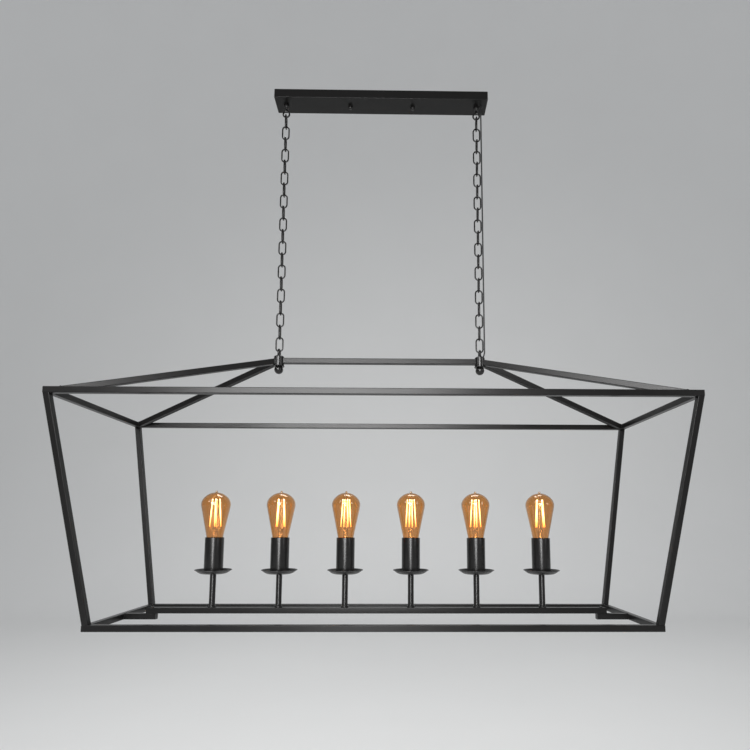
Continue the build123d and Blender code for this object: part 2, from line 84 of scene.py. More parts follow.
def put(name, mesh, material, body=None, instead_of=()):
    """Object for a finished mesh: dressed, set on its body and, where it
    stands for carried-over solids, put in their place."""
    piece = bpy.data.objects.new(name, mesh)
    bpy.context.scene.collection.objects.link(piece)
    mesh.materials.append(material)
    if body:
        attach(piece, body)
    if instead_of:
        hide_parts(*instead_of)
    return piece


def board_material():
    """Matt board: its colour, changed very faintly by slow noise."""
    material = bpy.data.materials.new("pale_board")
    material.use_nodes = True
    new, link = material.node_tree.nodes.new, material.node_tree.links.new
    shader = material.node_tree.nodes["Principled BSDF"]
    shader.inputs["Roughness"].default_value = 0.9
    shader.inputs["Specular IOR Level"].default_value = 0.1
    place = new("ShaderNodeTexCoord")
    mottle = new("ShaderNodeTexNoise")
    mottle.inputs["Scale"].default_value = 2.0
    tint = new("ShaderNodeMixRGB")
    tint.inputs["Color1"].default_value = (*BOARD_COLOUR, 1)
    tint.inputs["Color2"].default_value = (*(0.97 * np.array(BOARD_COLOUR)), 1)
    link(place.outputs["Object"], mottle.inputs["Vector"])
    link(mottle.outputs["Fac"], tint.inputs["Fac"])
    link(tint.outputs["Color"], shader.inputs["Base Color"])
    return material


# The sweep's section: a flat floor, a quarter circle and an upright wall.
turn = np.linspace(0, np.pi / 2, 24)
curve_start = WALL_Y - SWEEP_RADIUS
sweep_y = np.concatenate([[FLOOR_FRONT], curve_start + SWEEP_RADIUS * np.sin(turn), [WALL_Y]])
sweep_z = np.concatenate([[0.0], SWEEP_RADIUS * (1 - np.cos(turn)), [WALL_HEIGHT]]) + FLOOR_Z
sweep_x = np.array([-HALF_ROOM, HALF_ROOM])
sweep = np.stack(np.broadcast_arrays(sweep_x, sweep_y[:, None], sweep_z[:, None]), -1)
floor = put("floor", surface("floor", [sweep]), board_material())

# The room lights the object with a pale sky. The camera and the glass see a
# plain pale ground instead, and the paint mirrors a dim one.
world = bpy.data.worlds.new("room_light")
bpy.context.scene.world = world
world.use_nodes = True
new_node, join = world.node_tree.nodes.new, world.node_tree.links.new
sky = world.node_tree.nodes["Background"]
sky.inputs["Color"].default_value = (*SKY_COLOUR, 1)
sky.inputs["Strength"].default_value = SKY_STRENGTH
seen = new_node("ShaderNodeBackground")
seen.inputs["Color"].default_value = (*SEEN_GROUND, 1)
dim = new_node("ShaderNodeBackground")
dim.inputs["Color"].default_value = (*MIRRORED_GROUND, 1)
rays = new_node("ShaderNodeLightPath")
straight = new_node("ShaderNodeMath")
straight.operation = "MAXIMUM"
mirrored = new_node("ShaderNodeMixShader")
chosen = new_node("ShaderNodeMixShader")
join(rays.outputs["Is Glossy Ray"], mirrored.inputs["Fac"])
join(sky.outputs[0], mirrored.inputs[1])
join(dim.outputs[0], mirrored.inputs[2])
join(rays.outputs["Is Camera Ray"], straight.inputs[0])
join(rays.outputs["Is Transmission Ray"], straight.inputs[1])
join(straight.outputs[0], chosen.inputs["Fac"])
join(mirrored.outputs[0], chosen.inputs[1])
join(seen.outputs[0], chosen.inputs[2])
join(chosen.outputs[0], world.node_tree.nodes["World Output"].inputs["Surface"])
bpy.context.scene.view_settings.view_transform = "Standard"


def soft_light(name, place, aim, size, power, spread):
    """Soft box of the given width and height, in metres, facing its aim point.
    Its grid keeps the light within the spread, in degrees."""
    light = bpy.data.lights.new(name, "AREA")
    light.shape = "RECTANGLE"
    light.size, light.size_y = size
    light.energy = power
    light.spread = np.radians(spread)
    lamp = bpy.data.objects.new(name, light)
    lamp.location = place
    lamp.rotation_euler = (Vector(aim) - Vector(place)).to_track_quat("-Z", "Y").to_euler()
    bpy.context.scene.collection.objects.link(lamp)


soft_light("key_box", (-0.5, -3.2, 0.02), (-0.1, 0, -0.75), (2.0, 0.75), 15, 75)
soft_light("front_box", (-0.2, -3.2, -1.0), (-0.05, 0, -1.0), (0.70, 1.0), 5.0, 70)
soft_light("side_box", (-2.3, -2.0, 0.9), (0, 0, -0.8), (0.9, 1.3), 6, 110)
soft_light("fill_box", (2.6, -1.9, 0.0), (0, 0, -0.9), (0.7, 1.3), 4, 110)
soft_light("top_box", (0.2, 1.2, 2.3), (0, 0, -0.8), (1.8, 0.8), 20, 140)


# ---- Camera -----------------------------------------------------------------
# The photograph is taken from close by, a little above the lamp bar, and
# looks slightly up; its frame holds the light off centre.
IMAGE_WIDTH = 750
FOCAL_PIXELS = 526.5
AXIS_PIXEL = (402.6, 465.3)
EYE = (0.0367, -1.1266, -0.9931)
TURN, TILT, ROLL = -0.01285, 0.11453, 0.00237
SENSOR = 36.0
NEAREST = 0.02

forward = np.array([-np.sin(TURN), np.cos(TURN), 0])
right = np.array([np.cos(TURN), np.sin(TURN), 0])
up = np.array([0.0, 0.0, 1.0])
view = np.cos(TILT) * forward + np.sin(TILT) * up
crown = np.cos(TILT) * up - np.sin(TILT) * forward
side = np.cos(ROLL) * right + np.sin(ROLL) * crown
crown = np.cos(ROLL) * crown - np.sin(ROLL) * right
pose = Matrix.Identity(4)
for column, vector in enumerate((side, crown, -view, EYE)):
    for row in range(3):
        pose[row][column] = vector[row]
lens = bpy.data.cameras.new("camera")
lens.sensor_width = SENSOR
lens.lens = FOCAL_PIXELS * SENSOR / IMAGE_WIDTH
lens.shift_x = (IMAGE_WIDTH / 2 - AXIS_PIXEL[0]) / IMAGE_WIDTH
lens.shift_y = (AXIS_PIXEL[1] - IMAGE_WIDTH / 2) / IMAGE_WIDTH
lens.clip_start = NEAREST
camera = bpy.data.objects.new("camera", lens)
camera.matrix_world = pose
bpy.context.scene.collection.objects.link(camera)
bpy.context.scene.camera = camera


# ---- Supply cord ---------------------------------------------------------------
# Round two-core cord in a smooth black jacket. It leaves the canopy through
# the bushing, runs down beside the right chain and enters the hub's bell.
CORD_DIAMETER = 0.0032
CORD_ROUTE = [
    (0.2319, 0, -0.0163),
    (0.2319, 0, -0.6062),
    (0.2319, 0, -0.6151),
    (0.2286, 0, -0.6233),
]


def grain_group():
    """Node group 'coat_grain': fine bumps of a sprayed or moulded skin, with
    slow changes of gloss and of tone. Height is fine noise, Roughness is its
    base plus slow noise, and Color is the colour scaled by slow noise."""
    group = bpy.data.node_groups.new("coat_grain", "ShaderNodeTree")
    socket = group.interface.new_socket
    for name, kind, value in (
        ("Vector", "NodeSocketVector", (0, 0, 0)),
        ("Color", "NodeSocketColor", (0.02, 0.02, 0.02, 1)),
        ("Roughness", "NodeSocketFloat", 0.4),
        ("Peel Scale", "NodeSocketFloat", 700.0),
        ("Gloss Change", "NodeSocketFloat", 0.1),
        ("Tone Change", "NodeSocketFloat", 0.25),
    ):
        socket(name=name, in_out="INPUT", socket_type=kind).default_value = value
    for name, kind in (
        ("Color", "NodeSocketColor"),
        ("Roughness", "NodeSocketFloat"),
        ("Height", "NodeSocketFloat"),
    ):
        socket(name=name, in_out="OUTPUT", socket_type=kind)
    new, link = group.nodes.new, group.links.new
    given, result = new("NodeGroupInput"), new("NodeGroupOutput")
    peel = new("ShaderNodeTexNoise")
    peel.inputs["Detail"].default_value = 3.0
    link(given.outputs["Vector"], peel.inputs["Vector"])
    link(given.outputs["Peel Scale"], peel.inputs["Scale"])
    link(peel.outputs["Fac"], result.inputs["Height"])
    cloud = new("ShaderNodeTexNoise")
    cloud.inputs["Scale"].default_value = 14.0
    cloud.inputs["Detail"].default_value = 5.0
    cloud.inputs["Roughness"].default_value = 0.62
    link(given.outputs["Vector"], cloud.inputs["Vector"])
    centred = new("ShaderNodeMath")
    centred.operation = "SUBTRACT"
    centred.inputs[1].default_value = 0.5
    link(cloud.outputs["Fac"], centred.inputs[0])
    gloss = new("ShaderNodeMath")
    gloss.operation = "MULTIPLY_ADD"
    link(centred.outputs[0], gloss.inputs[0])
    link(given.outputs["Gloss Change"], gloss.inputs[1])
    link(given.outputs["Roughness"], gloss.inputs[2])
    link(gloss.outputs[0], result.inputs["Roughness"])
    tone = new("ShaderNodeMath")
    tone.operation = "MULTIPLY_ADD"
    tone.inputs[2].default_value = 1.0
    link(centred.outputs[0], tone.inputs[0])
    link(given.outputs["Tone Change"], tone.inputs[1])
    shade = new("ShaderNodeVectorMath")
    shade.operation = "SCALE"
    link(given.outputs["Color"], shade.inputs[0])
    link(tone.outputs[0], shade.inputs["Scale"])
    link(shade.outputs[0], result.inputs["Color"])
    return group


COAT_GRAIN = grain_group()


def coated(
    name, colour, roughness, peel_scale, peel_height,
    metallic=0.0, specular=0.5, gloss_change=0.12, tone_change=0.3,
):
    """Opaque finish with the grain of its coat: colour, gloss and a fine bump,
    whose height is in metres and whose scale is in bumps a metre."""
    material = bpy.data.materials.new(name)
    material.use_nodes = True
    new, link = material.node_tree.nodes.new, material.node_tree.links.new
    shader = material.node_tree.nodes["Principled BSDF"]
    shader.inputs["Metallic"].default_value = metallic
    shader.inputs["Specular IOR Level"].default_value = specular
    place = new("ShaderNodeTexCoord")
    grain = new("ShaderNodeGroup")
    grain.node_tree = COAT_GRAIN
    grain.inputs["Color"].default_value = (*colour, 1)
    grain.inputs["Roughness"].default_value = roughness
    grain.inputs["Peel Scale"].default_value = peel_scale
    grain.inputs["Gloss Change"].default_value = gloss_change
    grain.inputs["Tone Change"].default_value = tone_change
    bump = new("ShaderNodeBump")
    bump.inputs["Distance"].default_value = peel_height
    bump.inputs["Strength"].default_value = 0.6
    link(place.outputs["Object"], grain.inputs["Vector"])
    link(grain.outputs["Color"], shader.inputs["Base Color"])
    link(grain.outputs["Roughness"], shader.inputs["Roughness"])
    link(grain.outputs["Height"], bump.inputs["Height"])
    link(bump.outputs["Normal"], shader.inputs["Normal"])
    return material


cord_curve = bpy.data.curves.new("supply_cord", "CURVE")
cord_curve.dimensions = "3D"
cord_curve.bevel_depth = CORD_DIAMETER / 2
cord_curve.bevel_resolution = 5
cord_curve.resolution_u = 24
cord_curve.use_fill_caps = True
line = cord_curve.splines.new("NURBS")
line.points.add(len(CORD_ROUTE) - 1)
line.points.foreach_set("co", np.array([(*point, 1.0) for point in CORD_ROUTE]).ravel())
line.order_u = 3
line.use_endpoint_u = True
cord_curve.materials.append(coated("black_jacket", (0.016, 0.016, 0.017), 0.42, 2200, 0.00004))
cord = bpy.data.objects.new("supply_cord", cord_curve)
bpy.context.scene.collection.objects.link(cord)
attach(cord, "chain_run_right")
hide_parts("feed_cord")


# ---- Canopy -----------------------------------------------------------------------
# Folded sheet-steel pan in satin black powder coat, screwed up to a slotted
# zinc-plated bar with two studs and closed by two black cap nuts.
BLACK = (0.0070, 0.0067, 0.0065)
ZINC = (0.52, 0.53, 0.52)
powder_coat = coated("black_powder_coat", BLACK, 0.29, 700, 0.000018, specular=0.3, gloss_change=0.06)
black_enamel = coated("black_enamel", BLACK, 0.22, 1200, 0.000005)
zinc_plate = coated("zinc_plate", ZINC, 0.34, 600, 0.00003, metallic=1.0, gloss_change=0.2)
black_nylon = coated("black_nylon", (0.02, 0.02, 0.02), 0.5, 1200, 0.00005)


def dress(material, *names):
    """Give carried-over solids their finish."""
    for name in names:
        nodes[name].material_slots[0].material = material


dress(powder_coat, "canopy_cover")
dress(black_enamel, "cap_nuts", "canopy_loop_left", "canopy_loop_right")
dress(zinc_plate, "mounting_bar", "load_strap", "canopy_studs", "loop_nuts")
dress(black_nylon, "cord_bushing")


# ---- Chains ----------------------------------------------------------------------
# Oval links of round steel wire, bent, butt-welded in the middle of one side
# and painted black. Each hangs in the one above, a quarter turned to it.
LINKS = 20
LINK_WIRE = 0.0032
LINK_WIDTH = 0.018
LINK_LENGTH = 0.0348
LINK_GAP = 0.0003
FIRST_LINK_TOP = -0.0451
WELD_SWELL, WELD_REACH = 0.11, 0.0016
WIRE_SIDES = 14
CHAINS = {"left": -0.221, "right": 0.221}


def link_grids(x, first, last):
    """Links first to last of the chain at x. The centre line is a stadium: two
    straight sides and two half circles. The wire is a circle spanned by the
    line's outward direction and the link's facing, and swells at the weld by a
    bell curve of the distance to it. Even links face the room."""
    bend = (LINK_WIDTH - LINK_WIRE) / 2
    straight = (LINK_LENGTH - LINK_WIDTH) / 2
    turn = np.linspace(0, np.pi, 15)
    side = straight * np.array([0.55, 0.25, 0.1, 0, -0.1, -0.25, -0.55])
    out_x = np.concatenate([np.cos(turn), np.full(side.size, -1.0)])
    out_y = np.concatenate([np.sin(turn), np.zeros(side.size)])
    half_y = np.concatenate([straight + bend * np.sin(turn), side])
    line_x = bend * np.concatenate([out_x, -out_x])
    line_y = np.concatenate([half_y, -half_y])
    out_x, out_y = np.concatenate([out_x, -out_x]), np.concatenate([out_y, -out_y])
    from_weld = np.where(line_x < -0.99 * bend, line_y, 1.0)
    wire = LINK_WIRE / 2 * (1 + WELD_SWELL * np.exp(-((from_weld / WELD_REACH) ** 2)))
    angle = np.arange(WIRE_SIDES) * 2 * np.pi / WIRE_SIDES
    reach = wire[:, None] * np.cos(angle)
    across = line_x[:, None] + out_x[:, None] * reach
    height = line_y[:, None] + out_y[:, None] * reach
    depth = -wire[:, None] * np.sin(angle)
    grids = []
    for number in range(first, last + 1):
        step = LINK_LENGTH - 2 * LINK_WIRE - LINK_GAP
        middle = FIRST_LINK_TOP - LINK_LENGTH / 2 - (number - 1) * step
        level = middle + height
        faces_room = [x + across, depth, level]
        edge_on = [x - depth, across, level]
        grids.append(np.stack(faces_room if number % 2 == 0 else edge_on, -1))
    return grids


for hand, chain_x in CHAINS.items():
    for piece_name, node, body, first, last in (
        (f"chain_{hand}_top", f"top_link_{hand}", f"upper_link_{hand}", 1, 1),
        (f"chain_{hand}_run", f"chain_{hand}", f"chain_run_{hand}", 2, LINKS - 1),
        (f"chain_{hand}_bottom", f"bottom_link_{hand}", f"lower_link_{hand}", LINKS, LINKS),
    ):
        grids = link_grids(chain_x, first, last)
        links = surface(piece_name, grids, wrap_rows=True, wrap_columns=True)
        put(piece_name, links, black_enamel, body, [node])


# ---- Hubs -------------------------------------------------------------------------
# A turned boss takes the ridge and two hips at each end of the ridge. A bell
# with a cast ring stands on it, and a ball finial screws on from below.
hub_parts = ("hub_boss", "hang_loop", "ball_finial")
dress(black_enamel, *(f"{part}_{hand}" for part in hub_parts for hand in CHAINS))


# ---- Cage -------------------------------------------------------------------------
# Square steel tube, mitred or cut to fit, welded, ground flush on the outside
# and powder coated. Small weld beads stay in the inner corners; underneath
# they are ground off too.
TUBE = 0.012
TUBE_CORNER = 0.0012
RIDGE_Z = -0.6341
TOP_LEVEL = -0.7461
TOP_REACH = (0.598, 0.166)
BOTTOM_LEVEL = -1.1801
STUB_ROOT = 0.522
BOSS_RADIUS = 0.0113
BEAD = 0.0008
BEAD_SIDES = 8
RIPPLE, RIPPLE_STEP = 0.12, 2.1
GROUND = 0.00005
RIDGE_START = 0.1

ends = ("front", "back")
corners = [f"{end}_{hand}" for end in ends for hand in CHAINS]
dress(powder_coat, "ridge_tube")
for level in ("top", "bottom"):
    dress(powder_coat, *(f"{level}_rail_{end}" for end in (*ends, *CHAINS)))
for part in ("hip", "post"):
    dress(powder_coat, *(f"{part}_{corner}" for corner in corners))


def tube_outline():
    """Outline of the tube's section, as an even walk round a square whose
    corners are quarter circles; returns its points and outward directions."""
    quarter = np.linspace(0, np.pi / 2, 6)
    flat = TUBE / 2 - TUBE_CORNER
    start = np.repeat([0, 1, 2, 3], quarter.size) * np.pi / 2
    angle = start + np.tile(quarter, 4)
    out = np.stack([np.cos(angle), np.sin(angle)], -1)
    diagonal = start + np.pi / 4
    centre = flat * np.sqrt(2) * np.stack([np.cos(diagonal), np.sin(diagonal)], -1)
    return centre + TUBE_CORNER * out, out


def bead_grid(origin, run, stop):
    """Weld bead round a tube's end. Each point of the tube's outline moves
    along the run until the stop, a function of the points that gives how far;
    there the bead is a circle spanned by the outward direction and the run."""
    run = np.array(run, float)
    run /= np.linalg.norm(run)
    across = np.cross([0, 0, 1], run) if abs(run[2]) < 0.99 else np.array([1.0, 0, 0])
    across /= np.linalg.norm(across)
    upward = np.cross(run, across)
    flat, out = tube_outline()
    points = origin + flat[:, :1] * across + flat[:, 1:] * upward
    outward = out[:, :1] * across + out[:, 1:] * upward
    centre = points + stop(points, run)[:, None] * run
    angle = np.arange(BEAD_SIDES) * 2 * np.pi / BEAD_SIDES
    ripple = BEAD * (1 + RIPPLE * np.sin(np.arange(len(points)) * RIPPLE_STEP))[:, None, None]
    ring = np.cos(angle)[:, None] * outward[:, None] + np.sin(angle)[:, None] * run
    return centre[:, None] + ripple * ring


def until_hub(points, run):
    """Distance to the boss's cylinder, or to the middle plane if that is nearer."""
    from_axis = points[:, :2] - [np.sign(points[:, 0].mean()) * CHAINS["right"], 0]
    level = run[:2] @ run[:2]
    toward = from_axis @ run[:2]
    inside = np.maximum(toward**2 - level * ((from_axis**2).sum(1) - BOSS_RADIUS**2), 0)
    cylinder = (-toward - np.sqrt(inside)) / level
    if abs(run[1]) < 1e-6:
        return cylinder
    return np.minimum(cylinder, -points[:, 1] / run[1])


def until_frame(points, run):
    """Distance to whichever inner face of the top frame's corner is nearer."""
    return np.minimum(
        (np.sign(run[0]) * TOP_REACH[0] - points[:, 0]) / run[0],
        (np.sign(run[1]) * TOP_REACH[1] - points[:, 1]) / run[1],
    )


def at_root(points, _run):
    """No distance: the bead lies where the outline stands."""
    return np.zeros(len(points))


beads = []
for sx in (-1, 1):
    ridge_start = np.array([sx * RIDGE_START, 0, RIDGE_Z])
    stub_root = np.array([sx * STUB_ROOT, 0, BOTTOM_LEVEL])
    beads.append(bead_grid(ridge_start, (sx, 0, 0), until_hub))
    beads.append(bead_grid(stub_root, (sx, 0, 0), at_root))
    for sy in (-1, 1):
        foot = np.array([sx * TOP_REACH[0], sy * TOP_REACH[1], TOP_LEVEL])
        hub = np.array([sx * CHAINS["right"], 0, RIDGE_Z])
        beads.append(bead_grid(foot, hub - foot, until_hub))
        beads.append(bead_grid(hub, foot - hub, until_frame))
lowest = BOTTOM_LEVEL - TUBE / 2 + GROUND
for bead in beads:
    bead[..., 2] = np.maximum(bead[..., 2], lowest)
welds = surface("weld_beads", beads, wrap_rows=True, wrap_columns=True)
put("weld_beads", welds, powder_coat, "lantern")


# ---- Lamp bar ------------------------------------------------------------------------
# A closed square tube lies on a stub at each end and is held by a screw
# through both. It carries the six lamps and their leads.
dress(powder_coat, "lamp_bar", "stub_left", "stub_right")
dress(black_enamel, "bar_screws")


# ---- Stems ------------------------------------------------------------------------------
# Turned steel tubes with a slim flared foot, standing on the lamp bar by a
# tenon; a tenon at the top holds dish, sleeve and socket together.
LAMP_PITCH = 0.138
LAMPS = 6
LAMP_XS = LAMP_PITCH * (np.arange(LAMPS) - (LAMPS - 1) / 2)
BAR_TOP = -1.1621
STEM_HEIGHT = 0.0686
STEM_RADIUS = 0.0062
FOOT_RADIUS = 0.00775
FOOT_HEIGHT = 0.005
TENON_RADIUS = 0.004
TENON_BELOW, TENON_ABOVE = 0.006, 0.014


def rounded(corners, radii, steps=5):
    """Open outline through the corners. A corner with a radius becomes an arc
    that touches both its sides, radius times tan(half the turn) from it."""
    corners = np.array(corners, float)
    outline = [corners[:1]]
    for before, corner, after, radius in zip(corners, corners[1:], corners[2:], radii):
        arrive = (corner - before) / np.linalg.norm(corner - before)
        leave = (after - corner) / np.linalg.norm(after - corner)
        turn = np.arctan2(arrive[0] * leave[1] - arrive[1] * leave[0], arrive @ leave)
        start = corner - arrive * radius * np.tan(abs(turn) / 2)
        spoke = -np.sign(turn) * radius * np.array([-arrive[1], arrive[0]])
        angle = np.linspace(0, turn, steps + 1)[:, None]
        swung = np.cos(angle) * spoke + np.sin(angle) * np.array([-spoke[1], spoke[0]])
        outline.append(start - spoke + swung)
    return np.concatenate([*outline, corners[-1:]])


def turned(outline, x, z, sides=48):
    """Surface of revolution round the upright axis at x: each outline point
    (radius, height above z) becomes a circle. Up the outside faces outwards."""
    angle = np.arange(sides) * 2 * np.pi / sides
    radius, height = outline[:, :1], outline[:, 1:]
    across, deep = x + radius * np.cos(angle), radius * np.sin(angle)
    return np.stack(np.broadcast_arrays(across, deep, z + height), -1)


lamp_trim = coated("black_lamp_trim", BLACK, 0.27, 900, 0.000002, gloss_change=0.03)
stem_outline = rounded(
    [
        (0, -TENON_BELOW),
        (TENON_RADIUS, -TENON_BELOW),
        (TENON_RADIUS, 0),
        (FOOT_RADIUS, 0),
        (FOOT_RADIUS, FOOT_HEIGHT / 2),
        (STEM_RADIUS, FOOT_HEIGHT),
        (STEM_RADIUS, STEM_HEIGHT),
        (TENON_RADIUS, STEM_HEIGHT),
        (TENON_RADIUS, STEM_HEIGHT + TENON_ABOVE),
        (0, STEM_HEIGHT + TENON_ABOVE),
    ],
    [0.0005, 0, 0.0003, 0.0012, 0.0015, 0.0003, 0, 0.0005],
)
stem_grids = [turned(stem_outline, x, BAR_TOP) for x in LAMP_XS]
stems = surface("lamp_stems", stem_grids, wrap_columns=True)
put("lamp_stems", stems, lamp_trim, "lantern", ["stems"])


# ---- Drip dishes ---------------------------------------------------------------------
# Spun steel dishes with a flat floor, a rising curved brim and a rolled lip,
# clamped between stem and sleeve.
DISH_Z = BAR_TOP + STEM_HEIGHT
DISH_HOLE = 0.0043
DISH_FLOOR = 0.022
DISH_RADIUS = 0.0375
DISH_DEPTH = 0.009
DISH_WALL = 0.0012
BRIM_START = 0.12
LIP = 0.0009


def dish_outline():
    """Closed outline: under the floor, up the brim, round the lip and back.
    The brim's height is a small share of the way out from the floor, which
    lets it start at a slope, plus the rest of its square."""
    way = np.linspace(0, 1, 14)
    brim = DISH_FLOOR + way * (DISH_RADIUS - LIP - DISH_FLOOR)
    rise = (BRIM_START * way + (1 - BRIM_START) * way**2) * (DISH_DEPTH - LIP)
    roll = np.linspace(-0.45 * np.pi, 0.75 * np.pi, 10)
    lip_middle = (DISH_RADIUS - LIP, DISH_DEPTH - LIP)
    lip = np.stack([lip_middle[0] + LIP * np.cos(roll), lip_middle[1] + LIP * np.sin(roll)], -1)
    under = np.stack([brim, rise], -1)[:-1]
    above = np.stack([brim - 0.0001, rise + DISH_WALL], -1)[-2::-1]
    hole = [[DISH_HOLE, DISH_WALL], [DISH_HOLE, 0]]
    return np.concatenate([hole, under, lip, above])


dishes = surface(
    "lamp_dishes",
    [turned(dish_outline(), x, DISH_Z, 72) for x in LAMP_XS],
    wrap_rows=True,
    wrap_columns=True,
)
put("lamp_dishes", dishes, lamp_trim, "lantern", ["drip_dishes"])


# ---- Sleeves and sockets ------------------------------------------------------------------
# Plain steel sleeves with eased ends hide the sockets, which are black
# phenolic cups that clamp the dish from above.
SLEEVE_TOP = 0.144
SLEEVE_FOOT = DISH_Z + DISH_WALL
SLEEVE_RIM = BAR_TOP + SLEEVE_TOP
SLEEVE_RADIUS = 0.0192
SLEEVE_WALL = 0.0015
EASED = 0.0006
sleeve_height = SLEEVE_RIM - SLEEVE_FOOT
bore = SLEEVE_RADIUS - SLEEVE_WALL
middle = SLEEVE_RADIUS - SLEEVE_WALL / 2
sleeve_outline = rounded(
    [
        (middle, 0),
        (SLEEVE_RADIUS, 0),
        (SLEEVE_RADIUS, sleeve_height),
        (bore, sleeve_height),
        (bore, 0),
        (middle, 0),
    ],
    [EASED, EASED, EASED, EASED],
)[:-1]
sleeves = surface(
    "lamp_sleeves",
    [turned(sleeve_outline, x, SLEEVE_FOOT, 72) for x in LAMP_XS],
    wrap_rows=True,
    wrap_columns=True,
)
put("lamp_sleeves", sleeves, lamp_trim, "lantern", ["sleeves"])
phenolic = coated("black_phenolic", (0.028, 0.026, 0.024), 0.42, 500, 0.00003)
dress(phenolic, "sockets")


# ---- Bulb glass ------------------------------------------------------------------------
# Blown amber glass: a straight cone that swells into a domed top with the
# sealed-off pip. The wall is real, with an outer and an inner skin.
BULB_RADIUS = 0.030
BULB_HIDDEN = 0.017
BULB_FOOT = SLEEVE_RIM - BULB_HIDDEN
BULB_TOP = 0.112
BULB_WIDEST = 0.026
BELLY_RADIUS = 0.022
NECK_RADIUS = 0.014
NECK_HEIGHT = 0.005
GLASS_WALL = 0.0009
PIP_RADIUS = 0.0025
PIP_HEIGHT = 0.0035


def glass_skin(inset, pip):
    """Half outline of the glass from its foot to the axis: the neck, the cone
    that touches the belly's arc, that arc, the crown's arc, and a round pip
    where pip is its radius."""
    belly_x, belly_z = BULB_RADIUS - BELLY_RADIUS, BULB_TOP - BULB_WIDEST
    crown_rise = BULB_WIDEST - BELLY_RADIUS
    crown_full = (belly_x**2 + BULB_WIDEST**2 - BELLY_RADIUS**2) / (2 * crown_rise)
    crown_z = BULB_TOP - crown_full
    belly, crown, neck = BELLY_RADIUS - inset, crown_full - inset, NECK_RADIUS - inset
    across, rise = belly_x - neck, belly_z - NECK_HEIGHT
    side = np.arctan2(rise, across) - np.arcsin(belly / np.hypot(across, rise)) - np.pi / 2
    shoulder = np.arctan2(belly_z - crown_z, belly_x)
    swell = np.linspace(side, shoulder, 14)
    dome = np.linspace(shoulder, np.arccos(pip / crown), 12)[1:]
    touch = np.array([belly_x + belly * np.cos(side), belly_z + belly * np.sin(side)])
    shoulder_foot = np.array([neck, NECK_HEIGHT])
    cone = shoulder_foot + np.linspace(0, 1, 9)[:-1, None] * (touch - shoulder_foot)
    parts = [
        [[neck, 0], [neck, 0.6 * NECK_HEIGHT]],
        cone,
        np.stack([belly_x + belly * np.cos(swell), belly_z + belly * np.sin(swell)], -1),
        np.stack([crown * np.cos(dome), crown_z + crown * np.sin(dome)], -1),
    ]
    if pip:
        cap = np.linspace(0, np.pi / 2, 7)
        pip_z = BULB_TOP + PIP_HEIGHT - pip
        parts.append(np.stack([pip * np.cos(cap), pip_z + pip * np.sin(cap)], -1))
    skin = np.concatenate(parts)
    skin[-1, 0] = 0
    return skin


def clear_glass(name, colour, ior=1.5):
    """Smooth glass, tinted, with a faint slow change of its tint."""
    material = bpy.data.materials.new(name)
    material.use_nodes = True
    new, link = material.node_tree.nodes.new, material.node_tree.links.new
    shader = material.node_tree.nodes["Principled BSDF"]
    shader.inputs["Roughness"].default_value = 0.02
    shader.inputs["IOR"].default_value = ior
    shader.inputs["Transmission Weight"].default_value = 1.0
    place = new("ShaderNodeTexCoord")
    flow = new("ShaderNodeTexNoise")
    flow.inputs["Scale"].default_value = 30.0
    tint = new("ShaderNodeMixRGB")
    tint.inputs["Color1"].default_value = (*colour, 1)
    tint.inputs["Color2"].default_value = (*(0.95 * np.array(colour)), 1)
    link(place.outputs["Object"], flow.inputs["Vector"])
    link(flow.outputs["Fac"], tint.inputs["Fac"])
    link(tint.outputs["Color"], shader.inputs["Base Color"])
    return material


amber_glass = clear_glass("amber_glass", (0.85, 0.56, 0.30))
glass_outline = np.concatenate([glass_skin(GLASS_WALL, 0)[::-1], glass_skin(0, PIP_RADIUS)])
for number, lamp_x in enumerate(LAMP_XS, start=1):
    name, bulb = f"glass_{number}", f"bulb_{number}"
    skin = surface(name, [turned(glass_outline, lamp_x, BULB_FOOT, 64)], wrap_columns=True)
    put(name, skin, amber_glass, bulb, [f"bulb_glass_{number}"])


# ---- Bulb caps and mounts ------------------------------------------------------------------
# A rolled nickel-plated screw cap with its insulator and contact, and the
# clear glass mount that stands in the neck and carries the lead wires.
CAP_HEIGHT = 0.023
CAP_RADIUS = 0.013
CAP_INSULATOR = 0.005
CONTACT_RADIUS, CONTACT_HEIGHT = 0.005, 0.0012
INSULATOR_FOOT = (0.007, 0.0024)
INSULATOR_RADIUS = 0.0112
CAP_SIDES = 48
THREAD_PITCH = 0.0036
THREAD_DEPTH = 0.0006
THREAD_START, THREAD_END, THREAD_FADE = 0.001, 0.003, 0.002
MOUNT_RADIUS = 0.0055
MOUNT_TOP = 0.034
ROD_RADIUS = 0.0011
ROD_TOP = 0.106


